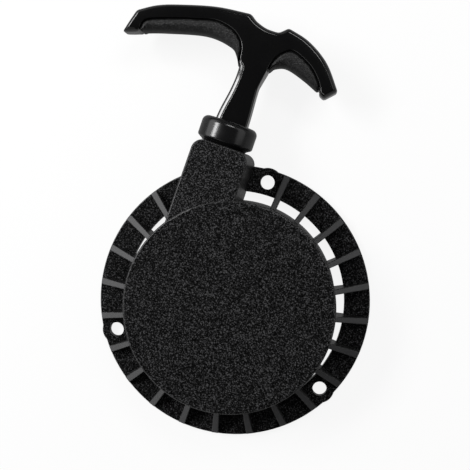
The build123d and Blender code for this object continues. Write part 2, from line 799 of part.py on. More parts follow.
# ---- Grip ---------------------------------------------------------------------------------------------
stem_foot = -stem_seat_depth
stem_left_foot = (-stem_half_width, 0)
stem_right_foot = (stem_half_width, 0)
tongue_edges = [(long_groove[1:], long_arm_underside[1:]), (short_groove, short_arm_underside[:-1])]
with BuildSketch() as grip_outline:
    with BuildLine():
        Polyline(
            stem_left_foot,
            (-stem_half_width, stem_foot),
            (stem_half_width, stem_foot),
            stem_right_foot,
        )
        Spline(stem_left_foot, stem_left_waist, long_arm_underside[0], tangents=[(0, 1), (-0.3, 1)])
        Spline(*long_arm_underside, tangents=[(-0.3, 1), (-2.6, -1)])
        Polyline(long_arm_underside[-1], long_arm_tip, long_arm_top[0])
        Spline(*long_arm_top)
        Line(long_arm_top[-1], crown_notch[0])
        Spline(*crown_notch)
        Line(crown_notch[-1], short_arm_top[0])
        Spline(*short_arm_top)
        Polyline(short_arm_top[-1], short_arm_tip, short_arm_underside[0])
        Spline(*short_arm_underside, tangents=[(-2.2, 1), (-0.2, -1)])
        Spline(short_arm_underside[-1], stem_right_waist, stem_right_foot, tangents=[(-0.2, -1), (0, -1)])
    make_face()
    for corner, radius in soft_corners:
        fillet(grip_outline.vertices().sort_by_distance(Vector(*corner))[0], radius)


def shifted(points, distance):
    """The same row of points moved square to itself, to its left where the distance is positive."""
    moved = []
    for before, point, after in zip([points[0]] + points[:-1], points, points[1:] + [points[-1]]):
        run = Vector(*after) - Vector(*before)
        moved.append(Vector(*point) + Vector(-run.Y, run.X) * (distance / run.length))
    return moved


# Parts of the arms that the soft inserts take up, up to their grooves: in the body, then in the inserts
zones = []
for inset in [0, groove_width]:
    with BuildSketch() as zone:
        long_edge = shifted(long_groove, -inset)
        long_close = shifted([long_zone_root] + long_zone_floor, -inset)
        short_edge = shifted(short_groove, -inset)
        short_close = shifted(short_zone_floor + [short_zone_root], -inset)
        for edge, close in [(long_edge, long_close), (short_edge, short_close)]:
            with BuildLine():
                Spline(*edge)
                Polyline(edge[-1], *close, edge[0])
            make_face()
    zones.append(zone.sketch)
body_cut, insert_zone = zones

# Tongues of the body that hold the inserts from inside
with BuildSketch() as tongues:
    for groove, underside in tongue_edges:
        root_edge = shifted(groove, tongue_root)
        free_edge = shifted(underside, -tongue_cover)
        with BuildLine():
            Spline(*root_edge)
            Line(root_edge[-1], free_edge[0])
            Spline(*free_edge)
            Line(free_edge[-1], root_edge[0])
        make_face()

# Side view: a slim stem that fits the guide, and deeper arms
grip_box = grip_outline.sketch.bounding_box()
with BuildPart() as grip_depth:
    with BuildSketch(Plane(origin=grip_plane.origin, x_dir=(0, 1, 0), z_dir=(1, 0, 0))):
        with BuildLine():
            Polyline(
                (stem_foot, -stem_half_depth),
                (stem_slim_end, -stem_half_depth),
                (arm_deep_start, -arm_half_depth),
                (grip_box.max.Y, -arm_half_depth),
                (grip_box.max.Y, arm_half_depth),
                (arm_deep_start, arm_half_depth),
                (stem_slim_end, stem_half_depth),
                (stem_foot, stem_half_depth),
                close=True,
            )
        make_face()
    extrude(amount=grip_box.size.X, both=True)

with BuildPart() as handle_body:
    with BuildSketch(grip_plane):
        add(grip_outline.sketch)
        add(body_cut, mode=Mode.SUBTRACT)
    extrude(amount=arm_half_depth + blank_spare, both=True)
    with BuildSketch(grip_plane):
        add(tongues.sketch)
    extrude(amount=tongue_half_depth, both=True)
    add(grip_depth.part, mode=Mode.INTERSECT)
    # Bore for the rope and pocket for its knot, open at the crown
    with BuildSketch(rope_axis_at(guide_top + stem_foot)):
        Circle(rope_bore_radius)
    extrude(amount=knot_pocket_floor - stem_foot, mode=Mode.SUBTRACT)
    with BuildSketch(rope_axis_at(knot_floor)):
        Circle(knot_pocket_radius)
    extrude(amount=knot_pocket_depth, mode=Mode.SUBTRACT)
save(handle_body, "handle_body")

insert_names = ["grip_insert_long", "grip_insert_short"]
with BuildPart() as grip_inserts:
    with BuildSketch(grip_plane):
        add(grip_outline.sketch)
        add(insert_zone, mode=Mode.INTERSECT)
    extrude(amount=arm_half_depth + blank_spare, both=True)
    add(grip_depth.part, mode=Mode.INTERSECT)
    add(handle_body.part, mode=Mode.SUBTRACT)
for name, insert in zip(insert_names, grip_inserts.solids().sort_by(Axis.X)):
    with BuildPart() as grip_insert:
        add(insert)
    save(grip_insert, name)

with BuildPart() as knot_washer:
    with BuildSketch(rope_axis_at(knot_floor)):
        Circle(knot_washer_radius)
        Circle(rope_radius, mode=Mode.SUBTRACT)
    extrude(amount=knot_washer_thickness)
save(knot_washer, "knot_washer")

with BuildPart() as handle_knot:
    with BuildSketch(rope_axis_at(knot_floor + knot_washer_thickness)):
        Circle(knot_radius)
    extrude(amount=knot_height)
    fillet(handle_knot.edges().filter_by(GeomType.CIRCLE), knot_edge_radius)
save(handle_knot, "handle_knot")
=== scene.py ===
"""Recoil starter for a small two-stroke engine: visual pieces, finishes and studio, laid out as an add-on.

Every length is in metres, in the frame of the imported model: the mounting face lies in z = 0, +Z is the reel's
axis and the rope leaves along +Y.
"""

import json
import math
from functools import partial

import bpy
import numpy as np
from bpy.props import FloatProperty, FloatVectorProperty, IntProperty, PointerProperty
from mathutils import Euler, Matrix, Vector
from mathutils.geometry import delaunay_2d_cdt


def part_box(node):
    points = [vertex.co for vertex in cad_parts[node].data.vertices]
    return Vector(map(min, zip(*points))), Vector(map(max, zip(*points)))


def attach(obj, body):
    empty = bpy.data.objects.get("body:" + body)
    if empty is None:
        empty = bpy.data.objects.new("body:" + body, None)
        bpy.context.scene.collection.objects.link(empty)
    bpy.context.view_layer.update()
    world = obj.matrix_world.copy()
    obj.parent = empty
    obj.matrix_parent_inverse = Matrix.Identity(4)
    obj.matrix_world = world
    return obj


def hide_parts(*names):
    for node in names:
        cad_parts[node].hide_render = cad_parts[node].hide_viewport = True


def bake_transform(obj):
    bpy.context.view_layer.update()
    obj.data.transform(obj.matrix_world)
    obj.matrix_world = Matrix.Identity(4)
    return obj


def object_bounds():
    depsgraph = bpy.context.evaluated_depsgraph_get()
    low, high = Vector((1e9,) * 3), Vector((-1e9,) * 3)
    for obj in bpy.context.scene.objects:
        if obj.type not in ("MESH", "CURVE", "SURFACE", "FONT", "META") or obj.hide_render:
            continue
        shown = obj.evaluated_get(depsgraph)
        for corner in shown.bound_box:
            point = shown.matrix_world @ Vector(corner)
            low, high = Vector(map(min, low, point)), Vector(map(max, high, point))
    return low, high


bl_info = {
    "name": "Recoil starter",
    "version": (1, 0, 0),
    "blender": (4, 5, 0),
    "location": "3D View > Sidebar > Recoil starter",
    "description": "Pull-rope starter with its moulded housing, rope guide, grip, rope and studio",
    "category": "Add Mesh",
}

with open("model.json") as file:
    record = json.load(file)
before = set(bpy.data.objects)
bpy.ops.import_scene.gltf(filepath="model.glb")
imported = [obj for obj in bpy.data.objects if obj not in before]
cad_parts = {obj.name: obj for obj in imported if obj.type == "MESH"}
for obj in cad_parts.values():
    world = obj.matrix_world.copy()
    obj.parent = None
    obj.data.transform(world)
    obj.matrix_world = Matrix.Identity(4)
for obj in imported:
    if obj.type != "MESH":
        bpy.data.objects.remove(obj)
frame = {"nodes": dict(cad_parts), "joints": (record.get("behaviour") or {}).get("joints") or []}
cad_low, cad_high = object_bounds()

MM = 0.001


def node_centre(name):
    """Middle of a CAD node's box."""
    low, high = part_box(name)
    return (low + high) / 2


guide_low, guide_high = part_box("rope_guide")
body_low, body_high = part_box("handle_body")
washer_low, washer_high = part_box("knot_washer")
rope_low, rope_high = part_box("rope_run")
rope_axis = (node_centre("rope_run").x, node_centre("rope_run").z)


# ---- Settings ------------------------------------------------------------------------------------------
def length(name, description, default):
    """A length that the sidebar shows in the scene's unit."""
    return FloatProperty(name=name, description=description, default=default, subtype="DISTANCE",
                         unit="LENGTH")


def colour(name, description, default):
    """A linear colour."""
    return FloatVectorProperty(name=name, description=description, default=default, subtype="COLOR",
                               size=3, min=0.0, max=1.0)


class StarterHousingSettings(bpy.types.PropertyGroup):
    """Grain and colour of the moulded housing."""
    plastic: colour("Plastic", "Colour of the brightest tips of the moulded grain", (0.066, 0.066, 0.068))
    contrast: FloatProperty(name="Contrast", default=3.0, min=0.0, max=5.0,
                            description="How much lighter the grain's tips are than its hollows")
    grain_size: length("Grain size", "Width of one grain", 0.62 * MM)
    grain_height: length("Grain height", "Height of the grain", 0.12 * MM)
    smooth: colour("Smooth plastic", "Colour of the smooth tops of the ribs", (0.036, 0.036, 0.0375))
    sheen: FloatProperty(name="Sheen", description="Specular level of the plastic", default=0.03,
                         min=0.0, max=1.0, subtype="FACTOR")


class StarterGripSettings(bpy.types.PropertyGroup):
    """Shape and colour of the grip."""
    edge: length("Edge radius", "Rounding of the grip's outer edges", 2.3 * MM)
    edge_depth: length("Edge depth", "How deep the rounding of the grip's outer edges reaches", 4.4 * MM)
    stem_edge: length("Stem edge radius", "Rounding of the stem's front edges", 1.0 * MM)
    stem_depth: length("Stem edge depth", "How deep the rounding beside the stem's ledge reaches", 1.9 * MM)
    stem_ledge: length("Stem ledge", "Width of the sloping ledge along the stem's sides", 2.0 * MM)
    sunk: length("Insert depth", "How far the inserts lie below the body's face", 0.3 * MM)
    pad_edge: length("Insert edge radius", "Rounding of the inserts beside the groove", 1.2 * MM)
    core_inset: length("Core inset", "How far the web behind the inserts lies below their faces", 2.2 * MM)
    groove_edge: length("Groove edge radius", "Rounding of the body beside the soft inserts", 0.45 * MM)
    soft_edge: length("Soft edge radius", "Rounding of the inserts' undersides", 4.2 * MM)
    soft_depth: length("Soft edge depth", "How deep the rounding of the inserts' undersides reaches",
                       6.4 * MM)
    groove: length("Groove width", "Gap between the body and its soft inserts", 0.7 * MM)
    crown: length("Crown", "How far the faces rise from edge to middle", 0.45 * MM)
    gloss: colour("Body", "Colour of the glossy body", (0.0030, 0.0030, 0.0032))
    soft: colour("Inserts", "Colour of the soft inserts' brightest grains", (0.036, 0.036, 0.037))


class StarterGuideSettings(bpy.types.PropertyGroup):
    """Shape and colour of the rope guide."""
    edge: length("Edge radius", "Rounding of the flange's front edge", 3.0 * MM)
    foot: length("Foot height", "Height of the waist between neck and flange", 2.8 * MM)
    plastic: colour("Bush", "Colour of the rope guide", (0.0045, 0.0045, 0.0048))


class StarterRopeSettings(bpy.types.PropertyGroup):
    """Rope with its braid and knots."""
    diameter: length("Diameter", "Diameter of the rope", 3.5 * MM)
    strands: IntProperty(name="Strands", description="Strands that wind each way round the rope",
                         default=6, min=3)
    lay: length("Lay", "Length of one full turn of a strand on the pulled rope", 13.0 * MM)
    relief: FloatProperty(name="Relief", description="Height of the strands as a share of the rope's radius",
                          default=0.10, min=0.0, max=0.3, subtype="FACTOR")
    yarn: colour("Yarn", "Colour of the rope", (0.62, 0.60, 0.55))
    fleck: colour("Tracer", "Colour of the tracer yarn", (0.02, 0.03, 0.05))


class StarterStudioSettings(bpy.types.PropertyGroup):
    """Camera, lamps and floor."""
    camera_place: FloatVectorProperty(name="Camera", description="Place of the camera",
                                      default=(0.0195, 0.0703, 0.4438), subtype="TRANSLATION", unit="LENGTH")
    camera_turn: FloatVectorProperty(name="Camera turn", description="Rotation of the camera",
                                     default=(math.radians(-1.83), math.radians(2.92), math.radians(18.93)),
                                     subtype="EULER", unit="ROTATION")
    lens: FloatProperty(name="Lens", description="Focal length on a 36 mm sensor", default=66.70,
                        unit="CAMERA")
    key: FloatProperty(name="Left softbox", description="Power of the softbox on the left", default=7.0,
                       unit="POWER")
    far: FloatProperty(name="Far softbox", description="Power of the softbox beyond the grip", default=2.0,
                       unit="POWER")
    fill: FloatProperty(name="Right softbox", description="Power of the broad lamp on the right", default=1.5,
                        unit="POWER")
    floor: colour("Floor", "Colour of the floor", (0.9, 0.9, 0.9))


# ---- Mesh helpers --------------------------------------------------------------------------------------
def mesh_piece(name, points, faces, material, body=None, smooth=True, normals=None):
    """Mesh object from arrays of points and faces, at the origin, shaded smooth or with its own normals."""
    mesh = bpy.data.meshes.new(name)
    mesh.from_pydata(np.asarray(points, float), [], faces)
    mesh.validate()
    mesh.polygons.foreach_set("use_smooth", np.full(len(mesh.polygons), smooth))
    if normals is not None:
        mesh.normals_split_custom_set_from_vertices(normals)
    mesh.materials.append(material)
    piece = bpy.data.objects.new(name, mesh)
    bpy.context.scene.collection.objects.link(piece)
    if body:
        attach(piece, body)
    return piece


def grid_faces(rows, columns, wrap_rows):
    """Quads of a grid of points numbered row by row: every row is closed, and the rows too if they wrap."""
    r, c = np.meshgrid(np.arange(rows if wrap_rows else rows - 1), np.arange(columns), indexing="ij")
    down, right = (r + 1) % rows, (c + 1) % columns
    quads = np.stack([r * columns + c, r * columns + right,
                      down * columns + right, down * columns + c], axis=-1)
    return quads.reshape(-1, 4)


def unit(rows):
    """Rows of vectors brought to length 1."""
    return rows / np.linalg.norm(rows, axis=1)[:, None]


def left_of(run):
    """Unit vectors square to rows of directions in the plane, to their left."""
    return unit(np.stack([-run[:, 1], run[:, 0]], axis=1))


def distance_along(line):
    """Distance of each point of a line from its start, along it."""
    return np.concatenate([[0], np.cumsum(np.linalg.norm(np.diff(line, axis=0), axis=1))])


def through(points, step):
    """Smooth curve through a row of points, sampled about every step: cubic Hermite pieces whose slope at an
    inner point is half the chord between its neighbours."""
    points = np.asarray(points, float)
    slope = np.gradient(points, axis=0)
    chord = np.linalg.norm(np.diff(points, axis=0), axis=1)
    slope[0], slope[-1] = points[1] - points[0], points[-1] - points[-2]
    rows = []
    for start, end, leave, arrive, run in zip(points[:-1], points[1:], slope[:-1], slope[1:], chord):
        t = np.linspace(0, 1, max(2, int(run / step) + 1))[:-1, None]
        rows.append((2 * t**3 - 3 * t**2 + 1) * start + (t**3 - 2 * t**2 + t) * leave
                    + (3 * t**2 - 2 * t**3) * end + (t**3 - t**2) * arrive)
    return np.vstack(rows + [points[-1:]])


def even(points, step):
    """The same closed line with its points spaced evenly along it."""
    loop = np.vstack([points, points[:1]])
    along = distance_along(loop)
    count = max(3, int(round(along[-1] / step)))
    at = np.linspace(0, along[-1], count + 1)[:-1]
    return np.stack([np.interp(at, along, loop[:, axis]) for axis in range(loop.shape[1])], axis=1)


def soften(values, width):
    """Closed row of values averaged with a bell of this width, in points, which rounds corners."""
    reach = int(3 * width) + 1
    offsets = np.arange(-reach, reach + 1)
    weights = np.exp(-0.5 * (offsets / width) ** 2)
    return sum(w * np.roll(values, k, axis=0) for k, w in zip(offsets, weights / weights.sum()))


def distance_inside(points, outline):
    """For each point: its distance to a closed outline, the number of the nearest segment, the direction away
    from the outline there and whether the point lies inside."""
    start, end = outline, np.roll(outline, -1, axis=0)
    run = end - start
    offset = points[:, None] - start[None]
    share = np.clip((offset * run).sum(-1) / (run**2).sum(-1), 0, 1)
    gap = offset - share[..., None] * run
    distance = np.linalg.norm(gap, axis=-1)
    nearest = distance.argmin(axis=1)
    row = np.arange(len(points))
    distance, gap = distance[row, nearest], gap[row, nearest]
    square = left_of(run[nearest])
    away = np.where(distance[:, None] > 1e-4, gap / np.maximum(distance, 1e-9)[:, None], square)
    above = (start[None, :, 1] > points[:, None, 1]) != (end[None, :, 1] > points[:, None, 1])
    rise = np.where(run[:, 1] == 0, 1e-12, run[:, 1])
    crossing = start[:, 0] + (points[:, None, 1] - start[:, 1]) * run[:, 0] / rise
    inside = (above & (points[:, None, 0] < crossing)).sum(axis=1) % 2 == 1
    return distance, nearest, away, inside


# Edge of a slab: the ledge's slope, its fillet and the rings of points on it as shares of its width, and the
# narrowest ledge that gets rings and how far in the crown rises, in millimetres.
LEDGE_SLOPE, LEDGE_FILLET = 0.27, 0.35
LEDGE_RINGS = np.array([0.6, 0.85, 0.98])
LEDGE_LEAST, CROWN_REACH = 0.3, 3.0


def edge_loss(distance, radius, drop, ledge):
    """How far a slab's face lies below its middle at a distance inside the outline: a quarter ellipse, radius
    wide and drop deep, inside the ledge, plus the sloping ledge and a fillet on the ledge's outer edge."""
    inner = 1 - np.clip((distance - ledge) / radius, 0, 1)
    rim = LEDGE_FILLET * ledge
    outer = rim - np.clip(distance, 0, rim)
    return (drop * (1 - np.sqrt(1 - inner**2)) + LEDGE_SLOPE * np.maximum(ledge - distance, 0)
            + rim - np.sqrt(np.maximum(rim**2 - outer**2, 0)))


def slab(outline, edge, half_depth, crown, rings, spacing):
    """Closed slab about the plane z = 0 with rounded edges, and its normals. At a distance d inside the
    outline its half thickness is half_depth - crown * exp(-d / CROWN_REACH) - edge_loss(d)."""
    radius, drop, ledge = edge.T
    tangent = np.roll(outline, -1, axis=0) - np.roll(outline, 1, axis=0)
    inward = left_of(tangent)
    bend = 1 - np.cos(np.linspace(0, math.pi / 2, rings + 1)[1:])
    on_ledge = np.vstack([LEDGE_FILLET * ledge * bend[1::3, None], ledge * LEDGE_RINGS[:, None]])
    if not ledge.any():
        on_ledge = on_ledge[:0]
    reach = np.vstack([np.where(ledge > LEDGE_LEAST, on_ledge, 0), ledge + bend[:, None] * radius])
    ring = (outline[None] + inward[None] * reach[..., None]).reshape(-1, 2)
    reach = reach.reshape(-1)
    low, high = outline.min(axis=0), outline.max(axis=0)
    row_share, least_reach, clear_share, room = 0.866, 0.01, 0.93, 0.6 * spacing
    rows = np.arange(low[1], high[1], spacing * row_share)
    columns = np.arange(low[0], high[0], spacing)
    x, y = np.meshgrid(columns, rows)
    x = x + (np.arange(len(rows)) % 2)[:, None] * spacing / 2
    inner = np.stack([x.reshape(-1), y.reshape(-1)], axis=1)
    distance, _, _, inside = distance_inside(ring, outline)
    ring = ring[inside & (reach > least_reach) & (distance > clear_share * reach)]
    distance, nearest, _, inside = distance_inside(inner, outline)
    inner = inner[inside & (distance > radius[nearest] + ledge[nearest] + room)]
    flat = np.vstack([outline, ring, inner])
    count = len(outline)
    places, _, triangles, origins, _, _ = delaunay_2d_cdt(
        list(map(Vector, flat.tolist())), [], [list(range(count))], 1, 1e-7)
    places = np.array([tuple(p) for p in places])
    triangles = np.array(triangles)
    distance, nearest, away, _ = distance_inside(places, outline)
    loss = partial(edge_loss, radius=radius[nearest], drop=drop[nearest], ledge=ledge[nearest])
    middle = half_depth(places)
    nudge = 1e-4
    fall = np.exp(-distance / CROWN_REACH)
    depth = middle - crown * fall - loss(distance)
    steepness = (loss(distance) - loss(distance + nudge)) / nudge + crown / CROWN_REACH * fall
    slope = away * steepness[:, None]
    slope[:, 1] += (half_depth(places + np.array([0, nudge])) - middle) / nudge
    normals = unit(np.column_stack([-slope, np.ones(len(slope))]))
    total = len(places)
    rim_of = {origin[0]: place for place, origin in enumerate(origins) if origin and origin[0] < count}
    rim = np.array([rim_of[k] for k in range(count)])
    onward = np.roll(rim, -1)
    wall = np.stack([rim, onward, onward + total, rim + total], axis=1)
    mirror = np.array([1, 1, -1])
    front = np.column_stack([places, depth])
    corners = places[triangles]
    side, rise = corners[:, 1] - corners[:, 0], corners[:, 2] - corners[:, 0]
    turn = side[:, 0] * rise[:, 1] - side[:, 1] * rise[:, 0]
    triangles = np.where((turn > 0)[:, None], triangles, triangles[:, ::-1])
    faces = triangles.tolist() + (triangles[:, ::-1] + total).tolist() + wall[:, ::-1].tolist()
    return np.vstack([front, front * mirror]), faces, np.vstack([normals, normals * mirror])


def turned(profile, segments):
    """Closed surface of revolution about +Y: the profile's (radius, height) rows at evenly spaced angles."""
    angle = np.linspace(0, 2 * math.pi, segments, endpoint=False)[:, None]
    radius, height = profile[:, 0][None], profile[:, 1][None]
    points = np.stack([radius * np.sin(angle), height + 0 * angle, radius * np.cos(angle)], axis=-1)
    return points.reshape(-1, 3), grid_faces(segments, len(profile), True)


def arc(centre, radius, start, end, count):
    """Points on a circle from one angle to another, in degrees."""
    angle = np.radians(np.linspace(start, end, count))
    return np.stack([centre[0] + radius * np.cos(angle), centre[1] + radius * np.sin(angle)], axis=1)


def points_round(path, side, normal, reach, angle):
    """Points round a path at these distances and angles, measured from its sides towards its normals."""
    return (path[:, None] + side[:, None] * (reach * np.cos(angle))[..., None]
            + normal[:, None] * (reach * np.sin(angle))[..., None]).reshape(-1, 3)


def rope_surface(path, phase, settings, around):
    """Braided rope along a path, closed at its ends: two families of n strands that cross. At the angle a and
    the phase p its radius is R (1 - relief + relief |sin(n (a + p) / 2) sin(n (a - p) / 2)|^0.5)."""
    radius, strands, relief = settings.diameter / 2, settings.strands, settings.relief
    tangent = unit(np.gradient(path, axis=0))
    side = unit(np.cross(tangent, np.broadcast_to((0, 0, 1), path.shape)))
    angle = np.linspace(0, 2 * math.pi, around, endpoint=False)[None]
    p = phase[:, None]
    weave = np.abs(np.sin(strands * (angle + p) / 2) * np.sin(strands * (angle - p) / 2)) ** 0.5
    reach = radius * (1 - relief + relief * weave)
    points = points_round(path, side, np.cross(side, tangent), reach, angle)
    last = (len(path) - 1) * around
    ends = [list(range(around))[::-1], list(range(last, last + around))]
    return points, grid_faces(len(path), around, False).tolist() + ends


# ---- Finishes ------------------------------------------------------------------------------------------
class Sock:
    """Output of a shader node that can be used in arithmetic; every operation adds a Math node."""

    def __init__(self, finish, socket):
        self.finish = finish
        self.socket = socket

    def maths(self, operation, *others):
        return self.finish.node("ShaderNodeMath", {"operation": operation},
                                dict(enumerate([self, *others])))

    def __add__(self, other):
        return self.maths("ADD", other)

    def __mul__(self, other):
        return self.maths("MULTIPLY", other)

    def __sub__(self, other):
        return self.maths("SUBTRACT", other)

    def __rsub__(self, other):
        return self.finish.node("ShaderNodeMath", {"operation": "SUBTRACT"}, {0: other, 1: self})

    def __rpow__(self, other):
        return self.finish.node("ShaderNodeMath", {"operation": "POWER"}, {0: other, 1: self})

    __radd__ = __add__
    __rmul__ = __mul__

    def output(self, name):
        """Another output of the same node."""
        return Sock(self.finish, self.socket.node.outputs[name])

    def step(self, start, end):
        """0 up to start, 1 from end on, smooth between."""
        return self.finish.node("ShaderNodeMapRange", {"interpolation_type": "SMOOTHSTEP"},
                                {"Value": self, "From Min": start, "From Max": end})


class Graph:
    """Node tree of a material or a world, built from expressions."""

    def __init__(self, owner):
        owner.use_nodes = True
        self.owner = owner
        self.tree = owner.node_tree

    def node(self, kind, settings=None, inputs=None, output=0):
        """Node of this kind with its settings made first, then the values or links of its sockets."""
        made = self.tree.nodes.new(kind)
        for setting, value in (settings or {}).items():
            setattr(made, setting, value)
        for socket, value in (inputs or {}).items():
            if isinstance(value, Sock):
                self.tree.links.new(value.socket, made.inputs[socket])
            else:
                made.inputs[socket].default_value = value
        return Sock(self, made.outputs[output])

    def place(self):
        """Object coordinates, in metres."""
        return self.node("ShaderNodeTexCoord", output="Object")

    def axis(self, vector, name):
        """One axis of a vector."""
        return self.node("ShaderNodeSeparateXYZ", None, {0: vector}, output=name)

    def noise(self, size, detail=2.0):
        """Noise whose features are about this wide, in metres."""
        return self.node("ShaderNodeTexNoise", None,
                         {"Vector": self.place(), "Scale": 1 / size, "Detail": detail, "Roughness": 0.5})

    def blend(self, share, first, second):
        """Colour between two colours, by a share that is held between 0 and 1."""
        first, second = (c if isinstance(c, Sock) else (*c, 1.0) for c in (first, second))
        return self.node("ShaderNodeMix", {"data_type": "RGBA"}, {0: share, 6: first, 7: second}, output=2)

    def bump(self, height, distance, strength):
        """Normal bent by a height from 0 to 1 that stands for this distance, in metres."""
        return self.node("ShaderNodeBump", None,
                         {"Height": height, "Distance": distance, "Strength": strength}, output="Normal")

    def surface(self, shader):
        """Make this shader the only one that the output shows."""
        out = next(n for n in self.tree.nodes if n.type.startswith("OUTPUT"))
        self.tree.links.new(shader.socket, out.inputs["Surface"])


class Finish(Graph):
    """Material with one Principled shader."""

    def __init__(self, name, **constants):
        self.material = bpy.data.materials.new(name)
        super().__init__(self.material)
        self.shader = self.tree.nodes["Principled BSDF"]
        for socket, value in constants.items():
            self.shader.inputs[socket.replace("_", " ")].default_value = value

    def paint(self, **channels):
        """Link expressions to the shader's sockets."""
        for socket, value in channels.items():
            self.tree.links.new(value.socket, self.shader.inputs[socket.replace("_", " ")])
        return self.material


def spark_grain(f, size, contrast):
    """Coarse grain, 1 at its middle: e to the power of contrast times a noise from about -1 to 1."""
    coarse = f.noise(size, detail=1.0)
    return math.exp(contrast) ** ((coarse - 0.5) * 4.0), coarse


# Soft steps between the housing's finishes and its zones of painted light and shade, from start to end:
# radii and heights in metres, and the z of a face's normal.
DRUM_EDGE, RIB_HEIGHT_END = (50.5 * MM, 51.5 * MM), (17.5 * MM, 18.5 * MM)
NECK_HEIGHT, RING_HEIGHT_END = (23 * MM, 24 * MM), (4 * MM, 6 * MM)
RIB_TILT, RIB_TILT_END, LEVEL_FACE = (0.76, 0.80), (0.87, 0.91), (0.90, 0.985)


def moulded_black(settings):
    """Moulded plastic: spark-textured grain all over, but for the smooth sloping tops of the ribs. The neck's
    face gets painted light and the ring floor painted shade.
    """
    f = Finish("housing_grained_black", Specular_IOR_Level=settings.sheen, Coat_Roughness=0.36)
    up = f.axis(f.node("ShaderNodeTexCoord", output="Normal"), "Z")
    place = f.place()
    x, y, z = (f.axis(place, name) for name in "XYZ")
    beyond_drum = (x * x + y * y).step(DRUM_EDGE[0] ** 2, DRUM_EDGE[1] ** 2)
    rib_top = up.step(*RIB_TILT) * (1 - up.step(*RIB_TILT_END)) * beyond_drum * (1 - z.step(*RIB_HEIGHT_END))
    spark, coarse = spark_grain(f, settings.grain_size, settings.contrast)
    cloud = f.noise(settings.grain_size * 25, detail=2.0)
    fine = f.noise(settings.grain_size * 0.6, detail=2.0)
    neck = beyond_drum * z.step(*NECK_HEIGHT)
    ring = beyond_drum * (1 - z.step(*RING_HEIGHT_END))
    # Painted light and shade: the neck's face is made 30 % lighter and the ring floor 20 % darker than the rest
    # of the grain.
    grain_with_painted_light = spark * (0.09 + 0.06 * cloud) * (1 + 0.3 * neck - 0.2 * ring)
    grained = f.blend(grain_with_painted_light, (0.0, 0.0, 0.0), tuple(settings.plastic))
    smooth = f.blend(fine.step(0.3, 0.7), tuple(0.8 * c for c in settings.smooth), tuple(settings.smooth))
    height = coarse * (1 - rib_top) + fine * 0.12 * rib_top
    return f.paint(
        Base_Color=f.blend(rib_top, grained, smooth),
        Roughness=0.66 - 0.20 * rib_top - 0.25 * coarse.step(0.55, 0.75) * (1 - rib_top),
        Coat_Weight=(1 - up.step(*LEVEL_FACE)) * (0.7 + 0.3 * rib_top),
        Normal=f.bump(height, settings.grain_height, 0.9),
    )


def gloss_black(name, tint, roughness, scratch):
    """Glossy moulded plastic with a faint ripple, fine scratches and dust."""
    f = Finish(name)
    ripple = f.noise(6 * MM, detail=2.0)
    grain = f.noise(0.5 * MM, detail=2.0)
    smear = f.noise(14 * MM, detail=3.0).step(0.35, 0.8)
    dust = f.noise(0.35 * MM, detail=1.0).step(0.68, 0.76)
    lighter = tuple(min(1.0, 3.0 * c + 0.008) for c in tint)
    return f.paint(
        Base_Color=f.blend(dust * 0.35, tuple(tint), lighter),
        Roughness=roughness + scratch * smear + 0.03 * grain,
        Normal=f.bump(ripple * 0.8 + grain * 0.05, 0.05 * MM, 0.5),
    )


def soft_grip(settings):
    """Soft rubbery plastic with a fine even grain."""
    f = Finish("grip_soft_black", Specular_IOR_Level=0.3)
    spark, coarse = spark_grain(f, 0.7 * MM, 2.2)
    mottle = f.noise(4 * MM, detail=3.0)
    return f.paint(
        Base_Color=f.blend(spark * (0.1 + 0.15 * mottle), (0.0, 0.0, 0.0), tuple(settings.soft)),
        Roughness=0.42 + 0.2 * coarse,
        Normal=f.bump(coarse, 0.2 * MM, 0.8),
    )


def metal(name, tint, roughness):
    """Plated or rolled metal with a soft mottle and fine scratches."""
    grain_size, variation = 0.4 * MM, 0.2
    f = Finish(name, Metallic=1.0)
    mottle = f.noise(grain_size * 12, detail=4.0)
    scratch = f.noise(grain_size, detail=3.0)
    darker = tuple((1 - variation) * c for c in tint)
    return f.paint(
        Base_Color=f.blend(mottle.step(0.3, 0.7), darker, tint),
        Roughness=roughness * (0.8 + 0.45 * scratch),
        Normal=f.bump(scratch, 0.01 * MM, 0.35),
    )


def nylon(name, tint, roughness):
    """Moulded nylon, slightly cloudy."""
    f = Finish(name)
    cloud = f.noise(8 * MM, detail=3.0)
    grain = f.noise(0.6 * MM, detail=2.0)
    darker = tuple(0.8 * c for c in tint)
    return f.paint(
        Base_Color=f.blend(cloud.step(0.3, 0.7), darker, tint),
        Roughness=roughness + 0.12 * grain,
        Normal=f.bump(grain, 0.03 * MM, 0.5),
    )


def braided(settings):
    """Braided nylon: painted shade in the hollows between the strands and a dark tracer follow the rope's own
    UV map.
    """
    f = Finish("rope_braided_nylon")
    wound = f.node("ShaderNodeUVMap", {"uv_map": "weave"})
    u, v = f.axis(wound, "X"), f.axis(wound, "Y")
    turns = settings.strands * 2 * math.pi
    lay = ((u + v) * (turns * 4)).maths("SINE") * ((u - v) * (turns * 4)).maths("SINE")
    strand = ((u + v) * (turns / 2)).maths("SINE") * ((u - v) * (turns / 2)).maths("SINE")
    painted_shade_between_strands = 1 - strand.maths("ABSOLUTE")
    tracer = ((u + v) * (2 * math.pi)).maths("COSINE").step(0.93, 0.97)
    # Painted shade: the yarn is darkened to 55 % in the hollows between the strands.
    dark = tuple(0.55 * c for c in settings.yarn)
    yarn = f.blend(painted_shade_between_strands.step(0.55, 1.0), tuple(settings.yarn), dark)
    return f.paint(
        Base_Color=f.blend(tracer * 0.85, yarn, tuple(settings.fleck)),
        Roughness=0.7 + 0.15 * lay,
        Normal=f.bump(0.5 + 0.5 * lay, 0.05 * MM, 0.5),
    )


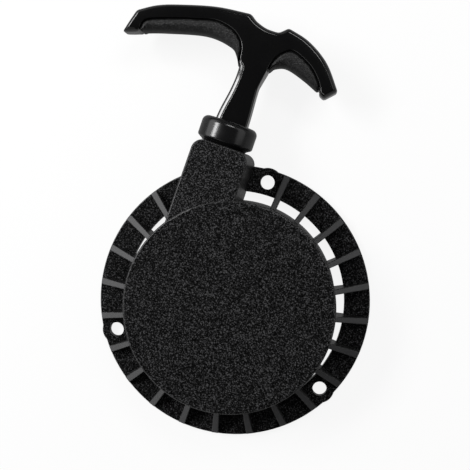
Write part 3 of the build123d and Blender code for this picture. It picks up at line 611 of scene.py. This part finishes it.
# ---- Grip ----------------------------------------------------------------------------------------------
# Rows of points across the stem and along the rope from the top of the rope guide, in millimetres.
STEM = [(-7.7, -5.0), (-7.7, -2.0), (-7.7, 0.0), (-7.0, 6.0), (-5.6, 14.0), (-4.7, 22.0), (-4.6, 27.6)]
STEM_RIGHT = [(7.3, 20.0), (7.6, 14.0), (8.1, 6.0), (8.3, 0.0), (8.3, -2.0), (8.3, -5.0)]
LONG_UNDERSIDE = [(-5.2, 26.4), (-7.8, 31.2), (-12.2, 34.8), (-25.2, 36.1), (-45.3, 31.1), (-55.9, 27.6)]
LONG_TIP = [(-56.6, 27.3), (-60.4, 25.8), (-64.3, 24.6)]
LONG_TOP = [(-60.7, 36.9), (-52.2, 42.1), (-42.2, 45.8), (-24.4, 50.6), (-7.2, 52.6)]
NOTCH = [(-3.6, 50.0), (2.0, 48.3), (8.4, 48.2)]
SHORT_TOP = [(12.3, 51.9), (23.6, 48.9), (35.0, 41.8), (44.6, 30.4)]
SHORT_TIP = [(39.2, 24.7), (36.1, 26.2)]
SHORT_UNDERSIDE = [(35.3, 27.1), (26.1, 30.9), (16.8, 33.3), (11.2, 31.2), (8.9, 28.6)]
LONG_GROOVE = [(-56.4, 27.4), (-55.8, 32.0), (-52.9, 34.8), (-41.0, 39.1), (-31.5, 41.9), (-21.9, 44.1),
               (-13.5, 42.8), (-8.4, 39.4), (-5.9, 35.0), (-5.3, 29.8)]
SHORT_GROOVE = [(9.0, 29.2), (9.4, 32.2), (10.9, 36.4), (14.0, 40.3), (18.6, 42.0), (27.9, 38.0),
                (33.8, 32.6), (36.0, 29.2)]
# Spacing along the outlines and, in such steps, the width over which their corners are rounded.
STEP, CORNER_WIDTH = 0.4, 2.2
# End of the stem's half depth, start of the arms', the stem's half depth, and the crown of the inserts.
SLIM_END, DEEP_START, SLIM_HALF_DEPTH, INSERT_CROWN = 16.0, 31.0, 6.2, 0.3
# Web behind an insert: its reach under the body, how far it keeps inside the underside, its run past the
# ends, and its edges as radius, depth and ledge.
WEB_OVERLAP, WEB_ROOM, WEB_RUN_ON = 1.0, 0.8, 1.6
WEB_GROOVE_EDGE, WEB_UNDERSIDE_EDGE = (0.5, 0.5, 0), (3.0, 4.0, 0)


def grip_half_depth(points):
    """Half depth of the grip: slim at the stem, deeper at the arms, with a smooth change between."""
    centre = node_centre("handle_body").z
    full = (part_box("grip_insert_long")[1].z - centre) / MM
    slim = min(full, SLIM_HALF_DEPTH)
    t = np.clip((points[:, 1] - SLIM_END) / (DEEP_START - SLIM_END), 0, 1)
    return slim + (full - slim) * t * t * (3 - 2 * t)


def moved_aside(line, distance):
    """Row of points moved square to itself, to its left where the distance is positive."""
    return line + left_of(np.gradient(line, axis=0)) * distance


def lengthened(line, distance):
    """Row of points carried on straight past both ends."""
    first, last = line[0] - line[1], line[-1] - line[-2]
    return np.vstack([line[0] + first / np.linalg.norm(first) * distance, line,
                      line[-1] + last / np.linalg.norm(last) * distance])


def closed_outline(parts):
    """Closed counter-clockwise outline and its edge sizes, evenly spaced, with rounded corners. A part is a
    row of points with its edge radius, depth and ledge, scaled down meanwhile so as not to add length."""
    rows = np.vstack([np.column_stack([line, np.tile(np.array(edge) * 1e-3, (len(line), 1))])
                      for line, *edge in parts])
    rows = soften(even(rows, STEP), CORNER_WIDTH)
    area = np.sum(rows[:, 0] * np.roll(rows[:, 1], -1) - np.roll(rows[:, 0], -1) * rows[:, 1])
    rows = rows if area > 0 else rows[::-1]
    return rows[:, :2], rows[:, 2:] * 1e3


def grip_slab(parts, half_depth, crown=0.0, rings=9, spacing=1.2):
    """Slab from an outline in the grip's own plane, set on the rope's axis: points, faces and normals."""
    outline, edge = closed_outline(parts)
    points, faces, normals = slab(outline, edge, half_depth, crown, rings, spacing)
    placed = np.stack([rope_axis[0] + points[:, 0] * MM, guide_high.y + points[:, 1] * MM,
                       rope_axis[1] + points[:, 2] * MM], axis=1)
    return placed, faces, normals


def joined(shapes):
    """One shape from several shapes of points, faces and normals."""
    points, faces, normals = [], [], []
    start = 0
    for places, corners, square in shapes:
        points.append(places)
        normals.append(square)
        faces += [[start + corner for corner in face] for face in corners]
        start += len(places)
    return np.vstack(points), faces, np.vstack(normals)


class StarterGrip(bpy.types.Operator):
    """Add the glossy grip and its two soft inserts"""
    bl_idname = "starter.grip"
    bl_label = "Grip"

    def execute(self, context):
        s = context.scene.starter_grip
        edge, depth, stem, stem_depth, ledge, lip, soft, soft_depth, pad = (size / MM for size in (
            s.edge, s.edge_depth, s.stem_edge, s.stem_depth, s.stem_ledge, s.groove_edge, s.soft_edge,
            s.soft_depth, s.pad_edge))
        long_groove, short_groove = through(LONG_GROOVE, STEP), through(SHORT_GROOVE, STEP)
        body = [
            (through(STEM, STEP), stem, stem_depth, ledge),
            (long_groove[::-1], lip, lip, 0),
            *((through(row, STEP), edge, depth, 0)
              for row in (LONG_TIP, LONG_TOP, NOTCH, SHORT_TOP, SHORT_TIP)),
            (short_groove[::-1], lip, lip, 0),
            (through(STEM_RIGHT, STEP), stem, stem, 0),
        ]
        sides = (("grip_pad_long", long_groove, LONG_UNDERSIDE[::-1], "grip_insert_long"),
                 ("grip_pad_short", short_groove, SHORT_UNDERSIDE[::-1], "grip_insert_short"))
        webs = []
        for _, groove, underside, _ in sides:
            below = lengthened(moved_aside(through(underside, STEP), WEB_ROOM), WEB_RUN_ON)
            webs.append(grip_slab([(moved_aside(groove, WEB_OVERLAP)[::-1], *WEB_GROOVE_EDGE),
                                   (below, *WEB_UNDERSIDE_EDGE)],
                                  lambda p: grip_half_depth(p) - s.core_inset / MM, rings=5, spacing=2.5))
        points, faces, normals = joined([grip_slab(body, grip_half_depth, s.crown / MM), *webs])
        gloss = gloss_black("grip_gloss_black", s.gloss, roughness=0.12, scratch=0.08)
        made = mesh_piece("grip_body", points, faces, gloss, "grip", normals=normals)
        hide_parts("handle_body")
        rubber = soft_grip(s)
        for name, groove, underside, node in sides:
            points, faces, normals = grip_slab(
                [(moved_aside(groove, -s.groove / MM)[::-1], pad, pad, 0),
                 (through(underside, STEP), soft, soft_depth, 0)],
                lambda p: grip_half_depth(p) - s.sunk / MM, INSERT_CROWN)
            insert = mesh_piece(name, points, faces, rubber, "grip", normals=normals)
            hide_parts(node)
        return {"FINISHED"}


class StarterGuide(bpy.types.Operator):
    """Add the rope guide that closes the end of the neck"""
    bl_idname = "starter.guide"
    bl_label = "Rope guide"

    def execute(self, context):
        s = context.scene.starter_guide
        low, high = guide_low, guide_high
        radius = (high.x - low.x) / 2
        top = high.y
        edge = s.edge
        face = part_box("housing")[1].y
        neck_end = 72.4 * MM
        bore, seat, lip, foot = 2.2 * MM, 8.8 * MM, 10.2 * MM, 11.2 * MM
        lip_top = low.y + 2.6 * MM
        foot_flare, foot_rise = 0.3 * MM, 0.5 * MM
        recess, recess_floor = 11.0 * MM, top - 5.6 * MM
        recess_taper, taper_end, rim_drop = 0.25 * MM, 1.2 * MM, 0.75 * MM
        flange_round, rim_round, floor_round, bore_round = 1.4 * MM, 0.6 * MM, 1.0 * MM, 1.2 * MM
        profile = np.vstack([
            [[bore, low.y], [seat, low.y], [lip, lip_top], [seat, lip_top], [seat, neck_end]],
            [[foot, neck_end], [foot + foot_flare, neck_end + foot_rise]],
            arc((radius - flange_round, neck_end + s.foot), flange_round, -60, 0, 6),
            arc((radius - edge, top - edge), edge, 0, 84, 12),
            arc((recess + rim_round, top - rim_drop), rim_round, 100, 180, 6),
            [[recess - recess_taper, recess_floor + taper_end]],
            arc((recess - recess_taper - floor_round, recess_floor + floor_round), floor_round, 0, -90, 5),
            arc((bore + bore_round, recess_floor - bore_round), bore_round, 90, 180, 6),
        ])
        points, faces = turned(profile, segments=144)
        points = points + np.array([rope_axis[0], 0, rope_axis[1]])
        material = gloss_black("guide_black", s.plastic, roughness=0.2, scratch=0.1)
        made = mesh_piece("guide_bush", points, faces, material, "housing")
        made.data.set_sharp_from_angle(angle=math.radians(50))
        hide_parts("rope_guide")
        return {"FINISHED"}


# ---- Rope ----------------------------------------------------------------------------------------------
# Lay of the rope on the reel, in millimetres and degrees.
LAYER_OUTER, ROPE_PITCH, ROPE_PLANE = 29.0, 3.6, 16.5
CROSSING, LEAD_RADIUS, LEAD_RUN = 60.0, 8.0, 2.5
# Points along the coil, its lead's bend, a knot and the straight run, and samples of that run's stretch.
COIL_POINTS, LEAD_POINTS, KNOT_POINTS, RUN_POINTS, STRETCH_SAMPLES = 1500, 20, 160, 1000, 4001
# Points round the coil, a knot and the straight run, and the radius of a knot's tube per diameter of rope.
COIL_AROUND, KNOT_AROUND, RUN_AROUND, KNOT_TUBE = 20, 16, 28, 0.38


def weave_map(piece, rows, columns, along):
    """UV map named weave on a rope: u round the rope, v along it."""
    r, c = np.meshgrid(np.arange(rows - 1), np.arange(columns), indexing="ij")
    u = np.stack([c, c + 1, c + 1, c], axis=-1) / columns
    v = np.stack([along[r], along[r], along[r + 1], along[r + 1]], axis=-1)
    uv = np.stack([u, v], axis=-1).reshape(-1, 2)
    layer = piece.data.uv_layers.new(name="weave")
    caps = np.zeros((len(piece.data.loops) - len(uv), 2))
    layer.data.foreach_set("uv", np.vstack([uv, caps]).astype(np.float32).reshape(-1))


def add_rope(name, path, phase, settings, around, material):
    """Braided rope piece with its weave map."""
    points, faces = rope_surface(path, phase, settings, around)
    piece = mesh_piece(name, points, faces, material)
    weave_map(piece, len(path), around, phase / (2 * math.pi))
    return piece


def coil_path():
    """Middle line of the rope on the reel: level turns, crossings that ease from one radius and plane to the
    next, and a small arc and a straight run in to the knot."""
    radii = [LAYER_OUTER - ROPE_PITCH * layer for layer in (2, 1, 0)]
    turns = [(radius, ROPE_PLANE - ROPE_PITCH * (1 - (layer + side) % 2))
             for layer, radius in enumerate(radii) for side in (0, 1)]
    span = 360 - 2 * CROSSING
    stops = [(0, *turns[0])]
    for turn in turns:
        stops += [(stops[-1][0] + (CROSSING if len(stops) > 1 else 0), *turn)]
        stops += [(stops[-1][0] + span, *turn)]
    stops = np.array(stops[1:])
    sweep = np.linspace(0, stops[-1, 0], COIL_POINTS)
    share = np.interp(sweep, stops[:, 0], np.arange(len(stops)))
    whole = np.minimum(share.astype(int), len(stops) - 2)
    part = share - whole
    part = part * part * (3 - 2 * part)
    radius = stops[whole, 1] * (1 - part) + stops[whole + 1, 1] * part
    height = stops[whole, 2] * (1 - part) + stops[whole + 1, 2] * part
    start = 180 + stops[-1, 0]
    angle = np.radians(start - sweep)
    wound = np.stack([radius * np.cos(angle), radius * np.sin(angle), height], axis=1)
    begin = math.radians(start)
    bend = np.linspace(math.pi / 2, 0, LEAD_POINTS)[:-1]
    inner = turns[0][0] - LEAD_RADIUS
    lead = np.stack([inner * math.cos(begin) + LEAD_RADIUS * np.cos(begin + bend),
                     inner * math.sin(begin) + LEAD_RADIUS * np.sin(begin + bend),
                     np.full(len(bend), turns[0][1])], axis=1)
    inwards = (lead[0] - lead[1]) / np.linalg.norm(lead[0] - lead[1])
    tail = lead[0] + inwards * np.array([[LEAD_RUN], [LEAD_RUN / 2]])
    return np.vstack([tail, lead, wound]) * MM


def add_knot(name, node, axis, settings, material):
    """Tight knot in a CAD knot's place: a round tube along a closed trefoil
    (sin a + 2 sin 2a, cos a - 2 cos 2a, -sin 3a), scaled to the knot's size."""
    low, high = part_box(node)
    turn = np.linspace(0, 2 * math.pi, KNOT_POINTS, endpoint=False)
    reach = np.array(high - low) / 2
    tube = settings.diameter * KNOT_TUBE
    flat = np.stack([np.sin(turn) + 2 * np.sin(2 * turn), np.cos(turn) - 2 * np.cos(2 * turn)], axis=1) / 3
    rise = -np.sin(3 * turn)
    order = {"X": (2, 0, 1), "Y": (1, 2, 0)}[axis]
    local = np.column_stack([flat, rise])[:, order]
    path = np.array((low + high) / 2) + local * np.maximum(reach - tube, 0.2 * MM)
    tangent = unit(np.roll(path, -1, axis=0) - np.roll(path, 1, axis=0))
    side = unit(np.cross(tangent, path - path.mean(axis=0)))
    angle = np.linspace(0, 2 * math.pi, KNOT_AROUND, endpoint=False)[None]
    points = points_round(path, side, np.cross(side, tangent), tube, angle)
    piece = mesh_piece(name, points, grid_faces(len(path), KNOT_AROUND, True).tolist(), material)
    weave_map(piece, len(path) + 1, KNOT_AROUND, np.linspace(0, 2.0, len(path) + 1))
    return piece


class StarterRope(bpy.types.Operator):
    """Add the rope's straight run, its coil and its two knots"""
    bl_idname = "starter.rope"
    bl_label = "Rope"

    def execute(self, context):
        s = context.scene.starter_rope
        material = braided(s)
        travel = next(j for j in frame["joints"] if j["name"] == "handle_pull")["range_m"][1]
        start, end = rope_low.y, rope_high.y

        def pulled_length(share):
            """Length of the pulled rope up to this share of the run at rest."""
            return share * (end - start) + travel * share * share * (3 - 2 * share)

        t = np.linspace(0, 1, STRETCH_SAMPLES)
        pulled = pulled_length(t)
        at = np.interp(np.linspace(0, pulled[-1], RUN_POINTS), pulled, t)
        path = np.stack([np.full(len(at), rope_axis[0]), start + at * (end - start),
                         np.full(len(at), rope_axis[1])], axis=1)
        phase = pulled_length(at) * 2 * math.pi / s.lay
        run = add_rope("rope_straight", path, phase, s, RUN_AROUND, material)
        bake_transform(run)
        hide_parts("rope_run")

        wound = coil_path()
        along = distance_along(wound)
        coil = add_rope("rope_wound", wound, along * 2 * math.pi / s.lay, s, COIL_AROUND, material)
        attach(coil, "reel")
        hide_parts("rope_coil")
        for name, node, body, axis in (("knot_in_grip", "handle_knot", "rope_end", "Y"),
                                       ("knot_in_reel", "reel_knot", "reel", "X")):
            knot = add_knot(name, node, axis, s, material)
            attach(knot, body)
            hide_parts(node)
        return {"FINISHED"}


# ---- Housing and mechanism -----------------------------------------------------------------------------
def dress(name, material):
    """Give a CAD node's surface this material."""
    for material_slot in frame["nodes"][name].material_slots:
        material_slot.material = material


class StarterHousing(bpy.types.Operator):
    """Give the moulded housing its grained plastic"""
    bl_idname = "starter.housing"
    bl_label = "Housing"

    def execute(self, context):
        dress("housing", moulded_black(context.scene.starter_housing))
        return {"FINISHED"}


class StarterMechanism(bpy.types.Operator):
    """Give the reel, the springs, the pawls and the fasteners their finishes"""
    bl_idname = "starter.mechanism"
    bl_label = "Mechanism"

    def execute(self, context):
        zinc = metal("zinc_plate", (0.62, 0.62, 0.60), 0.34)
        finishes = {
            ("spring_case", "spring_case_screws", "spring_cover", "retaining_washer", "centre_screw",
             "pawl_pins", "knot_washer", "pawl_a", "pawl_b"): zinc,
            ("cam_plate",): metal("cam_zinc", (0.66, 0.60, 0.45), 0.30),
            ("recoil_spring", "friction_spring", "pawl_spring_a", "pawl_spring_b"):
                metal("spring_blue", (0.16, 0.17, 0.20), 0.30),
            ("post_insert",): metal("insert_brass", (0.72, 0.50, 0.22), 0.32),
            ("reel",): nylon("reel_black_nylon", (0.016, 0.016, 0.017), 0.4),
        }
        for names, material in finishes.items():
            for name in names:
                dress(name, material)
        return {"FINISHED"}


# ---- Studio --------------------------------------------------------------------------------------------
def softbox(name, place, target, size, power, context):
    """Rectangular lamp that faces a point."""
    lamp = bpy.data.lights.new(name, "AREA")
    lamp.shape = "RECTANGLE"
    lamp.size, lamp.size_y = size
    lamp.energy = power
    made = bpy.data.objects.new(name, lamp)
    made.location = place
    made.rotation_euler = (Vector(target) - Vector(place)).to_track_quat("-Z", "Y").to_euler()
    context.scene.collection.objects.link(made)


# Shift of the camera's frame as shares of its width, and in metres the floor's half width, its level and the
# distances from the origin between which the shadow on it fades.
FRAME_SHIFT = (-0.0766, -0.0532)
FLOOR_REACH, FLOOR_LEVEL, SHADOW_FADE = 1.6, -0.0004, (0.25, 0.6)


class StarterStudio(bpy.types.Operator):
    """Set up the floor, the lamps, the world and the camera"""
    bl_idname = "starter.studio"
    bl_label = "Studio"

    def execute(self, context):
        s = context.scene.starter_studio
        scene = context.scene
        camera = bpy.data.cameras.new("camera")
        camera.lens = s.lens
        camera.sensor_width = 36.0
        camera.shift_x, camera.shift_y = FRAME_SHIFT
        camera.clip_start, camera.clip_end = 0.01, 20.0
        view = bpy.data.objects.new("camera", camera)
        view.location = s.camera_place
        view.rotation_euler = Euler(s.camera_turn, "XYZ")
        scene.collection.objects.link(view)
        scene.camera = view

        left = Vector((-math.cos(s.camera_turn[2]), -math.sin(s.camera_turn[2]), 0))
        ahead = Vector((left.y, -left.x, 0))
        corners = [(x * FLOOR_REACH, y * FLOOR_REACH, FLOOR_LEVEL)
                   for x, y in ((-1, -1), (1, -1), (1, 1), (-1, 1))]
        floor = mesh_piece("floor", corners, [(0, 1, 2, 3)], floor_material(s), smooth=False)
        studio_world(scene, left)
        aim = (cad_low + cad_high) / 2
        for name, aside, along, rise, size, power in (
                ("softbox_left", 0.62, 0.30, 0.60, (0.50, 0.20), s.key),
                ("softbox_far", -0.25, 0.5, 0.66, (0.36, 0.18), s.far),
                ("softbox_right", -0.85, 0.1, 0.5, (0.9, 0.6), s.fill)):
            place = aim + left * aside + ahead * along + Vector((0, 0, rise))
            softbox(name, place, aim, size, power, context)
        scene.view_settings.view_transform = "Standard"
        return {"FINISHED"}


def ray_kinds(g):
    """1 for rays of the camera, also through clear pieces, and 1 for rays off a gloss."""
    rays = g.node("ShaderNodeLightPath")
    direct = rays.output("Is Camera Ray").maths("MAXIMUM", rays.output("Is Transmission Ray"))
    return direct, rays.output("Is Glossy Ray")


def floor_material(settings):
    """White floor for the camera that keeps a soft share of the shadow near the part and is grey in gloss. It
    doesn't hide the part from below."""
    mirrored, cover = 0.32, 0.88
    g = Graph(bpy.data.materials.new("studio_floor"))
    direct, gloss = ray_kinds(g)
    place = g.place()
    x, y = g.axis(place, "X"), g.axis(place, "Y")
    distant = (x * x + y * y).step(SHADOW_FADE[0] ** 2, SHADOW_FADE[1] ** 2)
    white = g.node("ShaderNodeEmission", None, {"Strength": direct + gloss * mirrored})
    lit = g.node("ShaderNodeBsdfDiffuse", None, {"Color": (*settings.floor, 1.0)})
    share = direct * (cover + (1 - cover) * distant) + gloss
    above = g.node("ShaderNodeMixShader", None, {0: share, 1: lit, 2: white})
    below = g.node("ShaderNodeNewGeometry", output="Backfacing")
    clear = g.node("ShaderNodeBsdfTransparent")
    g.surface(g.node("ShaderNodeMixShader", None, {0: below, 1: above, 2: clear}))
    return g.owner


def studio_world(scene, left):
    """Dim even light; for the camera white, and in gloss a grey horizon with a bright band on the left, below
    a dark top."""
    white = (1.0, 1.0, 1.0, 1.0)
    top, horizon, band, even_strength = 0.03, 0.15, 1.8, 0.22
    g = Graph(bpy.data.worlds.new("studio"))
    direct, gloss = ray_kinds(g)
    towards = g.node("ShaderNodeTexCoord", output="Generated")
    x, y, z = (g.axis(towards, name) for name in "XYZ")
    side = (x * left.x + y * left.y).step(0.1, 0.7) * z.step(0.02, 0.10) * (1 - z.step(0.40, 0.58))
    low = 1 - z.step(0.05, 0.30)
    seen = g.node("ShaderNodeBackground", None,
                  {"Color": white, "Strength": direct + gloss * (top + horizon * low + band * side)})
    even_light = g.node("ShaderNodeBackground", None, {"Color": white, "Strength": even_strength})
    g.surface(g.node("ShaderNodeMixShader", None, {0: direct + gloss, 1: even_light, 2: seen}))
    scene.world = g.owner


class StarterPanel(bpy.types.Panel):
    """Panel that lists the starter's settings and its pieces"""
    bl_idname = "VIEW3D_PT_recoil_starter"
    bl_label = "Recoil starter"
    bl_space_type = "VIEW_3D"
    bl_region_type = "UI"
    bl_category = "Recoil starter"

    def draw(self, context):
        for name, operator, label in PIECES:
            box = self.layout.box()
            box.operator(operator, text=label)
            settings = getattr(context.scene, name, None)
            for prop in settings.bl_rna.properties if settings else ():
                if prop.identifier not in {"rna_type", "name"}:
                    box.prop(settings, prop.identifier)


PIECES = (
    ("starter_housing", "starter.housing", "Housing"),
    ("", "starter.mechanism", "Mechanism"),
    ("starter_rope", "starter.rope", "Rope"),
    ("starter_guide", "starter.guide", "Rope guide"),
    ("starter_grip", "starter.grip", "Grip"),
    ("starter_studio", "starter.studio", "Studio"),
)
SETTINGS = {
    "starter_housing": StarterHousingSettings,
    "starter_grip": StarterGripSettings,
    "starter_guide": StarterGuideSettings,
    "starter_rope": StarterRopeSettings,
    "starter_studio": StarterStudioSettings,
}
CLASSES = (*SETTINGS.values(), StarterHousing, StarterMechanism, StarterRope, StarterGuide, StarterGrip,
           StarterStudio, StarterPanel)


def register():
    for made in CLASSES:
        bpy.utils.register_class(made)
    for name, kind in SETTINGS.items():
        setattr(bpy.types.Scene, name, PointerProperty(type=kind))


def unregister():
    for name in SETTINGS:
        delattr(bpy.types.Scene, name)
    for made in reversed(CLASSES):
        bpy.utils.unregister_class(made)


def main():
    """Register the add-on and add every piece."""
    register()
    bpy.ops.starter.housing()
    bpy.ops.starter.mechanism()
    bpy.ops.starter.rope()
    bpy.ops.starter.guide()
    bpy.ops.starter.grip()
    bpy.ops.starter.studio()


if __name__ == "__main__":
    main()
